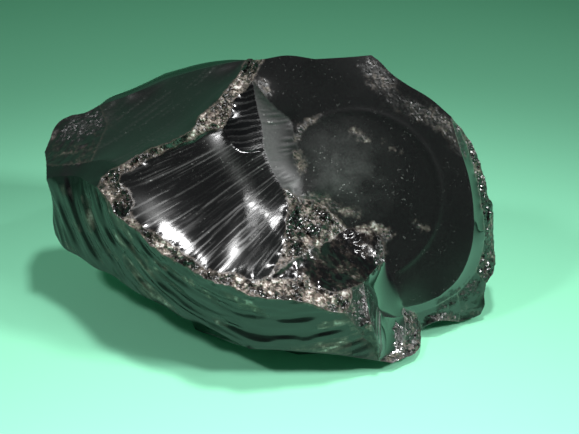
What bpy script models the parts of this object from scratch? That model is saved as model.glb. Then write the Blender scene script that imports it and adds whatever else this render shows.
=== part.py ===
"""Gilsonite lump: one broken piece of asphaltite, a single closed solid, in metres, +Z up.

The lump is drawn as a network of fracture faces. CORNERS are the points where three or more
faces meet, BENDS are the points that a curved edge passes through, and FACES lists the corners
round each face, counter-clockwise seen from outside the rock. Each edge is drawn once, as a smooth
curve, and both of its faces share it. A face is then filled with triangles whose height blends in
from its border, plus the relief that its fracture left: a crown or a hollow, ribs that are arcs
about the point where the fracture started, and grit where the brittle rock crumbled.
The origin is at the middle of the lump's box, on the surface that it rests on.
"""

import math
from typing import NamedTuple

import bpy
import numpy as np
from mathutils import Vector, noise
from mathutils.geometry import delaunay_2d_cdt

MM = 0.001
LENGTH = 93.0  # along X, mm
DEPTH = 57.0  # along Y, mm
HEIGHT = 48.0  # along Z, mm

EDGE_STEP = 2.0  # spacing of the points along an edge, mm
FACE_STEP = 2.1  # spacing of the points inside a broad face, mm
RIDGE_STEP = 1.4  # spacing inside a crumbled ridge or a ribbed face, mm
HIDDEN_STEP = 2.4  # spacing inside the faces at the back and underneath, mm
FLAT_STEP = 6.0  # spacing inside the flat foot, mm
ROW_SHARE = math.sqrt(3) / 2  # rows of a triangular lattice are this share of the spacing apart
MARGIN = 0.62  # inner points keep this share of the spacing from the border
RELIEF_FADE = 1.5  # relief grows from nothing at a border to its full height over this, mm
GRIT_SCALE = 0.55  # crumbs per mm
EDGE_GRIT = 0.5  # share of a face's grit that its edges take
WANDER = 1.3  # how far an edge with no bends of its own strays from straight, mm
WANDER_SCALE = 0.11  # turns of that wandering per mm
WANDER_SHARE = 0.05  # the most that it may be, as a share of the edge's length
NOISE_SEED = 4  # makes the edges stray the same way every time
CURVE_POINTS = 16  # points between two bends, from which an edge's own points are taken

# Corners of the fracture faces, mm.
CORNERS = {
    # left end
    "tip": (-46.5, 11.4, 26.5),
    "tip_mid": (-45.6, 6.5, 26.5),
    "tip_low": (-45.2, 2.9, 25.5),
    "heel": (-44.5, 2.5, 12.0),
    # long slope at the upper left, and the lip behind it
    "lip_left": (-35.7, 21.1, 32.0),
    "slope_brow": (-21.5, 21.6, 38.0),
    "back_brow": (-22.1, 28.5, 35.5),
    "nose_low": (-35.8, 2.6, 30.0),
    # crumbled ridges round the hollow
    "ridge_foot": (-29.3, -3.0, 32.5),
    "corner_out": (-33.5, -6.4, 29.5),
    "corner_in": (-27.4, -8.5, 30.5),
    "notch_foot": (-9.1, 1.5, 38.5),
    "ridge_mid": (0.1, -23.8, 20.5),
    "ridge_right": (15.9, -22.4, 17.0),
    "wall_corner": (15.1, -26.4, 14.0),
    # crest
    "crest_left": (-4.6, 16.4, 45.5),
    "crest_notch": (-0.9, 13.2, 47.5),
    "crest_mid": (9.3, 13.2, 47.5),
    "crest_right": (20.7, 15.7, 47.0),
    # star-shaped meeting of edges between the hollow and the disc
    "star_top": (-3.1, 10.0, 44.5),
    "star": (-0.8, -0.8, 35.5),
    "star_low": (3.1, -6.7, 29.5),
    "strip_brow": (4.3, 4.5, 38.5),
    "scree_top": (6.1, -6.6, 27.5),
    "scree_right": (15.3, -8.0, 21.0),
    # step and fan at the front right
    "step_top": (23.2, -11.9, 15.5),
    "step_left": (18.6, -18.9, 15.6),
    "fan_top": (22.9, -20.9, 8.7),
    "fan_right": (27.0, -17.4, 6.1),
    "fan_left": (20.1, -25.7, 10.7),
    "cleft_low": (18.6, -26.0, 7.6),
    "toe_left": (21.8, -26.9, 2.4),
    "toe": (24.4, -26.9, 1.9),
    "toe_right": (26.7, -25.1, 1.7),
    "knob": (29.1, -23.6, 1.6),
    "foot_tip": (30.7, -16.1, 2.0),
    # ring round the disc, the bevelled band outside it, and the jagged rim
    "ring_low": (26.9, -16.3, 7.3),
    "ring_bottom": (34.3, -14.0, 8.5),
    "ring_right": (41.3, -5.5, 20.0),
    "rim_top": (36.8, 7.5, 37.4),
    "band_low": (29.3, -15.7, 5.6),
    "band_bottom": (38.0, -12.1, 7.8),
    "band_notch": (42.0, -8.3, 10.3),
    "band_right": (43.7, -4.9, 18.0),
    "rim_right": (46.5, 2.6, 13.5),
    "rim_nose": (46.5, -4.5, 9.5),
    "rim_low": (44.3, -8.1, 7.3),
    "chip_nose": (43.3, -11.0, 1.5),
    "chip_foot": (38.8, -12.6, 0.8),
    # lower edge of the front wall
    "keel": (-3.5, -28.5, 6.8),
    # belt round the back, where the walls turn under, and a spur above it
    "belt_left": (-38.0, 18.5, 16.0),
    "belt_back": (-13.0, 28.0, 16.5),
    "belt_mid": (15.0, 26.5, 14.0),
    "belt_right": (38.5, 15.0, 12.0),
    "spur": (3.0, 27.5, 29.0),
    # flat foot
    "foot_left": (-15.0, -14.0, 0.0),
    "foot_front": (6.0, -22.0, 0.0),
    "foot_nose": (27.0, -19.5, 0.0),
    "foot_right": (36.0, -7.0, 0.0),
    "foot_rear": (28.0, 9.0, 0.0),
    "foot_back": (4.0, 15.0, 0.0),
    "foot_heel": (-18.0, 6.0, 0.0),
}

# Points that each curved edge passes through, mm. An edge that isn't here is straight.
BENDS = {
    "tip lip_left": [(-44.0, 17.6, 30.0), (-38.4, 19.1, 31.5)],
    "nose_low lip_left": [(-34.4, 10.0, 30.8), (-33.7, 14.4, 31.5)],
    "tip_mid nose_low": [(-40.2, 3.8, 28.5)],
    "nose_low ridge_foot": [(-32.5, 1.0, 31.3)],
    "tip_low corner_out": [
        (-42.7, 2.4, 26.5), (-39.0, 0.8, 27.6), (-36.8, -1.7, 28.3), (-35.2, -4.2, 29.0),
    ],
    "tip_low heel": [(-44.7, 3.7, 21.0), (-44.6, 3.7, 18.0), (-44.8, 3.2, 14.6)],
    "lip_left slope_brow": [(-31.6, 20.2, 34.0), (-28.2, 19.8, 35.7)],
    "slope_brow crest_left": [(-14.0, 18.8, 42.0), (-8.9, 17.0, 44.3)],
    "lip_left back_brow": [(-33.4, 23.1, 32.8), (-28.7, 25.1, 33.8)],
    "back_brow crest_left": [(-14.3, 24.6, 40.0), (-8.6, 20.3, 43.3)],
    "crest_notch crest_left": [(-2.8, 14.8, 46.6)],
    "crest_mid crest_notch": [(3.9, 13.8, 48.0)],
    "crest_right crest_mid": [(15.0, 14.2, 47.3)],
    "rim_top crest_right": [
        (32.6, 9.6, 40.4), (28.1, 11.2, 42.6), (24.9, 12.9, 44.2), (22.4, 14.9, 46.0),
    ],
    "ridge_foot crest_left": [
        (-26.0, -1.6, 34.0), (-23.8, -1.3, 35.1), (-20.7, -1.0, 36.3), (-17.8, -0.2, 37.3),
        (-15.3, 0.9, 38.3), (-13.6, 3.7, 39.6), (-11.6, 5.7, 40.8), (-9.5, 7.0, 42.0),
        (-8.1, 9.4, 43.0), (-6.3, 11.8, 44.1),
    ],
    "corner_out ridge_foot": [(-33.1, -4.3, 30.0), (-31.8, -2.9, 31.0)],
    "crest_notch star_top": [(-2.1, 11.8, 46.0)],
    "star_top notch_foot": [
        (-4.7, 8.3, 43.2), (-6.7, 6.9, 42.2), (-7.2, 5.1, 41.2), (-7.4, 3.5, 40.3), (-8.2, 2.3, 39.4),
    ],
    "notch_foot corner_in": [
        (-11.9, 1.5, 38.0), (-13.5, 0.9, 37.4), (-15.7, -0.1, 36.5), (-18.2, -0.8, 35.7),
        (-20.8, -1.6, 34.9), (-23.3, -2.7, 34.0), (-25.3, -3.2, 33.3), (-27.0, -4.3, 32.4),
        (-29.0, -4.9, 31.6), (-29.2, -7.0, 31.1),
    ],
    "corner_in ridge_mid": [
        (-26.2, -11.3, 29.3), (-26.8, -12.9, 28.3), (-24.5, -15.8, 27.0), (-21.7, -17.1, 26.3),
        (-18.7, -19.3, 25.3), (-15.8, -21.1, 24.0), (-11.5, -24.3, 22.8), (-9.0, -24.9, 22.5),
        (-5.2, -24.7, 21.9), (-2.9, -25.4, 21.0),
    ],
    "ridge_mid ridge_right": [
        (4.3, -22.8, 19.5), (7.6, -21.6, 19.3), (8.5, -22.8, 18.3), (13.2, -23.6, 17.0),
    ],
    "corner_out wall_corner": [
        (-30.8, -10.4, 28.7), (-29.9, -12.7, 27.7), (-27.6, -14.7, 27.2), (-24.6, -16.7, 26.0),
        (-22.6, -19.0, 24.8), (-19.7, -20.9, 23.8), (-16.7, -22.3, 22.5), (-13.8, -24.2, 22.0),
        (-11.3, -26.0, 21.7), (-8.6, -27.0, 21.3), (-5.2, -27.6, 20.5), (-2.9, -28.4, 19.6),
        (0.5, -28.1, 18.8), (6.2, -27.5, 17.8), (10.0, -27.4, 16.3), (12.0, -27.3, 15.0),
    ],
    "heel keel": [
        (-42.2, -1.7, 11.5), (-38.6, -4.6, 11.3), (-35.2, -7.9, 11.0), (-31.6, -10.3, 11.0),
        (-27.7, -14.3, 10.8), (-24.5, -16.8, 10.5), (-20.6, -19.1, 10.0), (-16.7, -21.6, 9.0),
        (-13.0, -22.9, 8.5), (-8.0, -25.8, 7.5),
    ],
    "keel toe_left": [(1.6, -28.4, 6.5), (6.8, -28.4, 6.0), (13.4, -28.1, 5.0), (17.9, -27.9, 4.0)],
    "star_top star": [(-2.3, 6.2, 41.0), (-1.3, 3.0, 38.3)],
    "star star_low": [(0.7, -3.7, 32.5)],
    "notch_foot star": [(-7.1, -1.2, 36.5), (-4.6, -2.2, 35.5)],
    "star_top strip_brow": [(-1.3, 7.4, 43.3), (1.3, 5.5, 40.7)],
    "strip_brow scree_top": [(4.9, 2.4, 37.0), (5.9, 0.0, 34.3), (6.9, -1.6, 31.8), (6.7, -3.9, 29.3)],
    "ridge_mid star_low": [
        (2.4, -19.4, 22.0), (3.3, -15.5, 23.5), (3.5, -12.3, 25.5), (4.1, -8.7, 27.5),
    ],
    "ridge_mid scree_right": [(3.9, -20.7, 21.5), (8.2, -15.8, 21.5), (12.2, -11.4, 20.5)],
    "scree_top scree_right": [(9.9, -5.7, 25.5), (12.9, -6.7, 23.5)],
    "scree_right step_top": [(20.6, -8.0, 20.5), (22.8, -9.6, 18.5)],
    "step_left step_top": [(20.2, -16.2, 15.7), (21.5, -14.1, 15.9)],
    "step_left fan_top": [(19.8, -18.9, 13.8), (20.6, -19.4, 12.3), (21.7, -20.0, 10.1)],
    "fan_top fan_right": [(24.9, -19.3, 7.2)],
    "ring_low step_top": [(26.0, -15.6, 9.5), (24.8, -13.9, 12.5)],
    "step_left fan_left": [(19.0, -21.2, 14.2), (19.4, -23.1, 12.9)],
    "fan_left toe_left": [(21.5, -26.8, 6.9)],
    "cleft_low toe_left": [(20.6, -26.3, 5.6)],
    "wall_corner cleft_low": [(16.9, -26.6, 11.0)],
    "ridge_right wall_corner": [(16.3, -24.2, 15.5)],
    "fan_right toe_right": [(27.3, -20.9, 4.4), (26.3, -23.6, 3.2)],
    "knob foot_tip": [(30.4, -20.4, 1.4)],
    "band_low foot_tip": [(30.1, -15.9, 4.0)],
    "ring_low ring_bottom": [(30.8, -15.1, 7.5)],
    "ring_bottom ring_right": [(37.4, -12.1, 10.4), (39.4, -10.2, 12.8), (40.8, -7.9, 16.3)],
    "ring_right rim_top": [(41.0, -2.7, 24.1), (40.1, 0.4, 28.2), (38.5, 3.5, 32.3), (37.4, 5.7, 35.2)],
    "band_low band_bottom": [(31.8, -15.0, 6.0), (34.5, -14.0, 6.6)],
    "band_notch band_right": [(43.3, -5.6, 13.6)],
    "band_right rim_top": [(42.6, -1.0, 24.2), (41.1, 3.1, 29.3), (38.8, 6.2, 34.3)],
    "rim_low rim_nose": [(45.5, -7.0, 8.5)],
    "rim_nose rim_right": [(46.4, 0.7, 12.3)],
    "rim_right rim_top": [
        (45.5, 0.8, 20.8), (44.6, 0.8, 22.4), (43.7, 3.1, 26.3), (41.9, 5.2, 30.6), (39.9, 6.6, 33.6),
    ],
    "band_bottom chip_foot": [(38.8, -11.6, 4.4)],
    "chip_nose rim_low": [(44.0, -10.3, 3.1), (44.0, -9.0, 5.0)],
    "foot_tip chip_foot": [(32.5, -15.9, 3.0), (34.7, -15.4, 3.4)],
}


class Face(NamedTuple):
    """One fracture face. Lengths are in mm."""

    corners: str
    step: float = FACE_STEP
    crown: float = 0.0  # how far its middle bulges, or is hollowed where negative
    origin: tuple = (0.0, 0.0, 0.0)  # where its fracture started
    ribs: tuple = ()  # (spacing, height) of the ribs, arcs about that origin
    rings: tuple = ()  # (radius, height, width) of single steps about that origin
    grit: float = 0.0  # how far its crumbled surface stands up and down


FACES = {
    "slope": Face("nose_low ridge_foot crest_left slope_brow lip_left", crown=-1.2),
    "lip": Face("lip_left slope_brow crest_left back_brow", crown=0.3),
    "nose": Face("tip tip_mid nose_low lip_left", grit=0.5),
    "wedge": Face("tip_mid tip_low corner_out ridge_foot nose_low", grit=0.15),
    "left_ridge": Face(
        "corner_out corner_in notch_foot star_top crest_notch crest_left ridge_foot",
        RIDGE_STEP, grit=0.8,
    ),
    "front_ridge": Face(
        "corner_out wall_corner ridge_right ridge_mid corner_in", RIDGE_STEP, grit=0.8
    ),
    "wall": Face(
        "tip_low heel keel toe_left cleft_low wall_corner corner_out", 1.7,
        origin=(6.0, -20.0, 55.0), ribs=(4.2, 0.45), crown=1.0,
    ),
    "hollow": Face(
        "corner_in ridge_mid star_low star notch_foot", 1.7, crown=-0.5,
    ),
    "notch": Face("notch_foot star star_top", crown=-0.3),
    "strip": Face("star_top star star_low scree_top strip_brow", crown=-0.4),
    "scree": Face("star_low ridge_mid scree_right scree_top", RIDGE_STEP, grit=0.8),
    "shelf": Face("ridge_mid ridge_right step_left step_top scree_right", crown=0.4),
    "cleft": Face(
        "ridge_right wall_corner cleft_low toe_left fan_left step_left", RIDGE_STEP, crown=-0.2
    ),
    "step": Face("step_left fan_top fan_right ring_low step_top", RIDGE_STEP, crown=-0.6),
    "fan": Face(
        "step_left fan_left toe_left toe toe_right fan_right fan_top", RIDGE_STEP, crown=-0.3
    ),
    "flank": Face("fan_right toe_right knob foot_tip band_low ring_low", RIDGE_STEP, grit=0.4),
    "disc": Face(
        "scree_top scree_right step_top ring_low ring_bottom ring_right"
        " rim_top crest_right crest_mid crest_notch star_top strip_brow", 1.9,
        crown=1.6, origin=(16.3, -2.8, 29.0), rings=((12.0, 0.2, 1.8), (17.0, 0.2, 1.8)),
    ),
    "band": Face(
        "ring_low band_low band_bottom band_notch band_right rim_top ring_right ring_bottom", RIDGE_STEP
    ),
    "rim": Face("band_notch rim_low rim_nose rim_right rim_top band_right", RIDGE_STEP, grit=0.5),
    "chip_front": Face("band_low foot_tip chip_foot band_bottom", RIDGE_STEP, crown=-0.3),
    "chip_side": Face(
        "band_bottom chip_foot chip_nose rim_low band_notch", RIDGE_STEP, crown=-0.2, grit=0.2
    ),
    "left_wall": Face(
        "heel tip_low tip_mid tip lip_left belt_left", HIDDEN_STEP,
        crown=0.8, origin=(-46.0, 8.0, 44.0), ribs=(6.5, 0.5),
    ),
    "back_left_wall": Face(
        "belt_left lip_left back_brow belt_back", HIDDEN_STEP,
        crown=-1.6, origin=(-24.0, 28.0, 48.0), ribs=(7.0, 0.5),
    ),
    "back_crown": Face(
        "spur back_brow crest_left crest_notch crest_mid crest_right", HIDDEN_STEP,
        crown=-1.0, origin=(-8.0, 14.0, 54.0), ribs=(8.0, 0.5),
    ),
    "back_wall": Face(
        "belt_back back_brow spur belt_mid", HIDDEN_STEP,
        crown=0.9, origin=(4.0, 28.0, 34.0), ribs=(6.0, 0.45),
    ),
    "right_wall": Face(
        "belt_mid spur crest_right rim_top belt_right", HIDDEN_STEP,
        crown=-1.8, origin=(22.0, 18.0, 52.0), ribs=(8.5, 0.6),
    ),
    "rim_wall": Face(
        "belt_right rim_top rim_right rim_nose rim_low chip_nose foot_right", HIDDEN_STEP,
        crown=0.9, origin=(40.0, 26.0, 34.0), ribs=(7.0, 0.5),
    ),
    "under_left": Face(
        "heel belt_left foot_heel foot_left keel", HIDDEN_STEP,
        crown=-0.8, origin=(-50.0, 16.0, 20.0), ribs=(9.0, 0.6),
    ),
    "under_back": Face(
        "belt_left belt_back belt_mid foot_back foot_heel", HIDDEN_STEP,
        crown=1.2, origin=(-2.0, 34.0, 20.0), ribs=(7.5, 0.5),
    ),
    "under_right": Face("belt_mid belt_right foot_right foot_rear foot_back", HIDDEN_STEP, crown=1.0),
    "under_chip": Face("chip_nose chip_foot foot_tip foot_nose foot_right", HIDDEN_STEP),
    "under_front": Face(
        "keel foot_left foot_front foot_nose foot_tip knob toe_right toe toe_left", HIDDEN_STEP
    ),
    "foot": Face(
        "foot_left foot_heel foot_back foot_rear foot_right foot_nose foot_front", FLAT_STEP
    ),
}


def clear_scene():
    for obj in list(bpy.data.objects):
        bpy.data.objects.remove(obj)


def catmull_rom(a, b, c, d, t):
    """Points on the smooth curve from b to c, where t is 0 at b and 1 at c."""
    linear = c - a
    square = 2 * a - 5 * b + 4 * c - d
    cube = 3 * b - a - 3 * c + d
    return b + 0.5 * t * (linear + t * (square + t * cube))


def curve_through(points, step):
    """Points about a step apart along a smooth curve through the given ones, with both ends."""
    knots = [2 * points[0] - points[1], *points, 2 * points[-1] - points[-2]]
    t = np.linspace(0.0, 1.0, CURVE_POINTS, endpoint=False)[:, None]
    runs = [catmull_rom(*four, t) for four in zip(knots, knots[1:], knots[2:], knots[3:])]
    dense = np.vstack([*runs, points[-1]])
    along = np.concatenate([[0.0], np.cumsum(np.linalg.norm(np.diff(dense, axis=0), axis=1))])
    places = np.linspace(0.0, along[-1], max(1, round(along[-1] / step)) + 1)
    return np.column_stack([np.interp(places, along, dense[:, axis]) for axis in range(3)])


def shake(points, amount, scale):
    """The edge's points, all but its ends moved by up to about the amount. A foot edge stays level."""
    share = np.sin(np.linspace(0.0, math.pi, len(points)))[:, None] ** 0.5
    shifts = amount * share * np.array([noise.noise_vector(Vector(point) * scale) for point in points])
    if points[0][2] == 0.0 and points[-1][2] == 0.0:
        shifts[:, 2] = 0.0
    return points + shifts


def edge_grits():
    """The grit of each pair of neighbouring corners: the larger of its two faces' grits."""
    grits = {}
    for face in FACES.values():
        names = face.corners.split()
        for pair in zip(names, names[1:] + names[:1]):
            key = frozenset(pair)
            grits[key] = max(grits.get(key, 0.0), face.grit)
    return grits


def draw_edges(vertices):
    """Adds every edge's points to the vertices, and returns their indices for both directions."""
    index_of = {}
    for name, place in CORNERS.items():
        index_of[name] = len(vertices)
        vertices.append(np.array(place))
    bends = {frozenset(names.split()): (names.split(), points) for names, points in BENDS.items()}
    drawn = {}
    for key, grit in edge_grits().items():
        names, between = bends.get(key, (sorted(key), []))
        start, end = names
        through = [np.array(point) for point in (CORNERS[start], *between, CORNERS[end])]
        points = curve_through(through, EDGE_STEP)
        if not between:
            straight = np.linalg.norm(through[-1] - through[0])
            points = shake(points, min(WANDER, WANDER_SHARE * straight), WANDER_SCALE)
        points = shake(points, grit * EDGE_GRIT, GRIT_SCALE)
        inner = list(range(len(vertices), len(vertices) + len(points) - 2))
        vertices.extend(points[1:-1])
        run = [index_of[start], *inner, index_of[end]]
        drawn[start, end] = run
        drawn[end, start] = run[::-1]
    return drawn


def border_of(face, drawn):
    names = face.corners.split()
    loop = []
    for pair in zip(names, names[1:] + names[:1]):
        loop.extend(drawn[pair][:-1])
    return loop


def face_frame(border):
    """The border's middle, and rows of axes whose last one is its outward normal."""
    middle = border.mean(axis=0)
    spokes = border - middle
    normal = np.cross(spokes, np.roll(spokes, -1, axis=0)).sum(axis=0)
    normal /= np.linalg.norm(normal)
    side = np.cross((0.0, 0.0, 1.0) if abs(normal[2]) < 0.9 else (0.0, 1.0, 0.0), normal)
    side /= np.linalg.norm(side)
    return middle, np.array([side, np.cross(normal, side), normal])


def lattice(border, step):
    """Points of a triangular lattice over the border's box."""
    low = border.min(axis=0)
    high = border.max(axis=0)
    columns = np.arange(low[0] + step / 4, high[0], step)
    rows = []
    for row, y in enumerate(np.arange(low[1] + step / 2, high[1], step * ROW_SHARE)):
        rows.append(np.column_stack([columns + (row % 2) * step / 2, np.full(len(columns), y)]))
    return np.vstack(rows)


def arc_lattice(border, origin, step):
    """The same, but with its rows on arcs about the origin, so that ribs run along them."""
    low = border.min(axis=0)
    high = border.max(axis=0)
    farthest = np.linalg.norm(border - origin, axis=1).max()
    rows = []
    for row, radius in enumerate(np.arange(step / 2, farthest, step * ROW_SHARE)):
        count = max(6, round(2 * math.pi * radius / step))
        angles = (np.arange(count) + (row % 2) / 2) * 2 * math.pi / count
        arc = origin + radius * np.column_stack([np.cos(angles), np.sin(angles)])
        rows.append(arc[((arc > low) & (arc < high)).all(axis=1)])
    return np.vstack(rows)


def blend_in(points, border):
    """Each point's mean-value weights, smooth distance in, whether it is inside, and nearest gap."""
    spokes = border[None] - points[:, None]
    reach = np.linalg.norm(spokes, axis=2)
    following = np.roll(spokes, -1, axis=1)
    cross = spokes[..., 0] * following[..., 1] - spokes[..., 1] * following[..., 0]
    dot = (spokes * following).sum(axis=2)
    half_tangent = cross / (reach * np.roll(reach, -1, axis=1) + dot)
    weights = (half_tangent + np.roll(half_tangent, 1, axis=1)) / reach
    total = weights.sum(axis=1)
    inside = np.arctan2(cross, dot).sum(axis=1) > math.pi
    return weights / total[:, None], 2.0 / total, inside, reach.min(axis=1)


def skewed_wave(turns):
    """A wave of height 1 whose crests lean to one side, as conchoidal ribs do."""
    angle = 2 * math.pi * turns
    return 0.5 * np.sin(angle) + 0.2 * np.sin(2 * angle)


def relief(face, flat, depth, solid_points, origin):
    """Height above the blended surface of each inner point."""
    height = face.crown * depth / max(depth.max(), 1e-9)
    fade = 1.0 - np.exp(-((depth / RELIEF_FADE) ** 2))
    radius = np.linalg.norm(flat - origin, axis=1)
    if face.ribs:
        spacing, tall = face.ribs
        height = height + tall * fade * skewed_wave(radius / spacing)
    for ring, tall, width in face.rings:
        height = height + tall * fade * np.exp(-(((radius - ring) / width) ** 2))
    if face.grit:
        bumps = [noise.noise(Vector(point) * GRIT_SCALE) for point in solid_points]
        height = height + face.grit * fade * np.array(bumps)
    return height


def fill_face(face, loop, vertices, triangles):
    """Adds the face's inner points and its triangles."""
    border = np.array([vertices[index] for index in loop])
    middle, axes = face_frame(border)
    local = (border - middle) @ axes.T
    outline = local[:, :2]
    origin = ((np.array(face.origin) - middle) @ axes.T)[:2]
    arched = face.ribs or face.rings
    points = arc_lattice(outline, origin, face.step) if arched else lattice(outline, face.step)
    weights, depth, inside, gap = blend_in(points, outline)
    keep = inside & (gap > MARGIN * face.step)
    points, weights, depth = points[keep], weights[keep], depth[keep]
    first = len(vertices)
    if len(points):
        blended = weights @ local[:, 2]
        solid_points = middle + points @ axes[:2] + blended[:, None] * axes[2]
        lift = relief(face, points, depth, solid_points, origin)
        vertices.extend(solid_points + lift[:, None] * axes[2])
    flat = [Vector(point) for point in np.vstack([outline, points])]
    sides = [(i, (i + 1) % len(loop)) for i in range(len(loop))]
    index_of = [*loop, *range(first, first + len(points))]
    _, _, faces, sources, _, _ = delaunay_2d_cdt(flat, sides, [], 1, 1e-6)
    for corners in faces:
        triangles.append(tuple(index_of[sources[corner][0]] for corner in corners))


def lump_mesh():
    noise.seed_set(NOISE_SEED)
    vertices = []
    triangles = []
    drawn = draw_edges(vertices)
    for face in FACES.values():
        fill_face(face, border_of(face, drawn), vertices, triangles)
    half = (LENGTH / 2, DEPTH / 2)
    places = np.clip(np.array(vertices), (-half[0], -half[1], 0.0), (*half, HEIGHT))
    mesh = bpy.data.meshes.new("gilsonite_lump")
    mesh.from_pydata((places * MM).tolist(), [], triangles)
    mesh.update()
    return mesh


def gilsonite():
    """Black, glassy asphaltite."""
    material = bpy.data.materials.new("gilsonite")
    material.use_nodes = True
    shader = material.node_tree.nodes["Principled BSDF"]
    shader.inputs["Base Color"].default_value = (0.006, 0.006, 0.006, 1.0)
    shader.inputs["Roughness"].default_value = 0.12
    shader.inputs["Metallic"].default_value = 0.0
    shader.inputs["IOR"].default_value = 1.6
    return material


def main():
    clear_scene()
    bpy.context.scene.unit_settings.scale_length = 1.0
    lump = bpy.data.objects.new("gilsonite_lump", lump_mesh())
    lump.data.materials.append(gilsonite())
    bpy.context.scene.collection.objects.link(lump)


main()
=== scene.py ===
"""The gilsonite lump's looks: one fine mesh of its fracture faces, and the studio.

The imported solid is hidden, and the fine mesh stands for it. It is drawn from the same network of
corners and curved edges, in millimetres, with a denser filling and the finer marks of each
fracture: hackles, ribs, rings, steps, chips and crushed ridges.
"""

import itertools
import math
from typing import NamedTuple

import bpy
import numpy as np
from mathutils import Matrix, Vector, noise
from mathutils.geometry import delaunay_2d_cdt


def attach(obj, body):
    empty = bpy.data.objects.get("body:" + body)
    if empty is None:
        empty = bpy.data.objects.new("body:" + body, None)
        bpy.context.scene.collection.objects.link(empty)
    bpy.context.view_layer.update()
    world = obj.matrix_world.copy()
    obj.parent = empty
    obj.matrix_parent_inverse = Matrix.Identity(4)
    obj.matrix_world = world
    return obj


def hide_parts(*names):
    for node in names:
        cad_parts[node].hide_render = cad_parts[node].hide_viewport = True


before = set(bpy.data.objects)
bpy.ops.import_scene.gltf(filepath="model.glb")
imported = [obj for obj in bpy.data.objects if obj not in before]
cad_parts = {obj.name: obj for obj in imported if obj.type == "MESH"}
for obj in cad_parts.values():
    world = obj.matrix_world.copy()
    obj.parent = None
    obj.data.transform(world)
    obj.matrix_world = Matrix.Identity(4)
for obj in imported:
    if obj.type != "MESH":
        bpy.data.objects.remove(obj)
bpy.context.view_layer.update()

MM = 0.001
BOX = ((-46.5, -28.5, 0.0), (46.5, 28.5, 48.0))  # the solid's lowest and highest corner, mm

EDGE_STEP = 0.4  # spacing of the points along an edge, mm
CURVE_POINTS = 16  # on the curve between two bends, before an edge's own are taken
ROW_SHARE = math.sqrt(3) / 2  # rows of a triangular lattice are this share of the spacing apart
MARGIN = 0.62  # inner points keep this share of the spacing from the border
JITTER = 0.5  # in a crushed face they stray within a square of this share of it
CHUNK = 3000  # points blended at a time
RELIEF_FADE = 1.5  # broad relief grows from a border to its full height over this, mm
DETAIL_FADE = 0.35  # fine detail does so over this, mm

WANDER = 1.3  # how far an edge with no bends of its own strays from straight, mm
WANDER_SCALE = 0.11  # turns of that wandering per mm
WANDER_SHARE = 0.05  # its limit, as a share of the edge's length
NOISE_SEED = 4  # fixes how the edges stray
GRIT_SCALE = 0.55  # coarse crumbs per mm
EDGE_GRIT = 0.5  # share of a face's grit that its edges take
NIBBLE = 0.22  # how far the finest crumbs move an edge, mm
NIBBLE_SCALE = 1.3  # finest crumbs per mm

CRUSHED = 0.4  # a face with more powder than this is shaded as flat facets
CRUMBLED = 0.2  # so is a triangle that crumbs cover by more than this
ZONE_SCALE = 0.35  # zones of heavier and lighter crushing per mm
COARSE_CHIP = 1.3  # size of the larger facets of a crushed face, mm
FINE_CHIP = 0.6  # size of the smaller ones, mm
CHIP_LEAN = 0.7  # slope of the facets that lean most
CHIP_STEP = 0.5  # how far facets stand out, as a share of their size
CRUMB_LIFT = 0.5  # share of the fine facets' height that a streak takes
CRUMB_MATTE = 0.2  # roughness that it adds
CRUMB_CONTRAST = 0.9  # how much its single crumbs differ from its tint
CRUMB_EDGE = 1.6  # it ends this many reaches from its middle
CRUMB_RAGGED = 0.8  # how ragged its sides are
MIDDLE_TINT = 0.5  # of crumbs that are neither dark nor pale
MASKS = ("powder", "dust_and_sheen", "tint", "matte", "gloss")

# Colours of the crumbs, from the darkest to the palest.
CRUMB_COLOURS = (
    (0.30, (0.006, 0.005, 0.005)),
    (0.46, (0.035, 0.024, 0.019)),
    (0.60, (0.15, 0.11, 0.09)),
    (0.70, (0.40, 0.33, 0.29)),
    (0.82, (0.85, 0.80, 0.77)),
)
GLASS_COLOUR = (0.004, 0.004, 0.0045, 1.0)
# Pale colour of dust, also used to paint sheen, glows and glints
DUST_AND_SHEEN_COLOUR = (0.40, 0.39, 0.38, 1.0)
FLECKS = (1.7, 4.0, 0.63, 7.0)  # of dust: noise scale per mm, its detail, threshold and gain
FLECK_CLUSTERS = (0.2, 2.0, 0.47, 8.0)  # the same for the places where flecks lie
EVEN_DUST = 0.14  # how thickly the pale film of dust and painted sheen lies between the flecks

GLASS_IOR = 1.6
COAT_IOR = 2.0  # of the faces that mirror most
COAT_ROUGHNESS = 0.08
GLASS_ROUGHNESS = 0.06  # of the cleanest glass, and the next four add to it
UNEVEN_ROUGHNESS = 0.08
DUST_ROUGHNESS = 0.25
CRUMB_ROUGHNESS = 0.15
PALE_ROUGHNESS = 0.45  # of the palest crumbs, beyond that
GLASS_BUMP = 0.02  # strength of the finest bumps
CRUMB_BUMP = 0.15  # beyond that, where crushed
BUMP_HEIGHT = 0.1  # mm

AIM = Vector((0.0042, -0.0056, 0.022))  # the camera looks at this point, m
CAMERA_DISTANCE = 0.3217
CAMERA_TILT = math.radians(35.0)
CAMERA_LENS = 100.0  # mm
CAMERA_SENSOR = 36.0  # mm
LIT_SPOT = Vector((0.0, -0.12, 0.0))  # the lamps face this point of the table, m
FLOOR_RADIUS = 2.5
FLOOR_SIDES = 96
FLOOR_COLOUR = (0.30, 0.78, 0.52, 1.0)
FLOOR_ROUGHNESS = 0.9
FLOOR_SHINE = 0.1

# Colours of the room by height: the direction's Z, less a share of its Y.
SKY = (
    (0.0, (0.10, 0.28, 0.18)),
    (0.50, (0.10, 0.28, 0.18)),
    (0.60, (0.02, 0.03, 0.028)),
    (1.0, (0.02, 0.02, 0.022)),
)
SKY_LEAN = -0.3  # that share
GLOW_COLOUR = (0.45, 1.3, 0.8, 1.0)  # of the sunlit room low at the right
GLOW_HEIGHTS = (0.5, 0.0)  # it grows to full between these values of Z
GLOW_SIDES = (0.3, 0.8)  # and these of X

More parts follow.
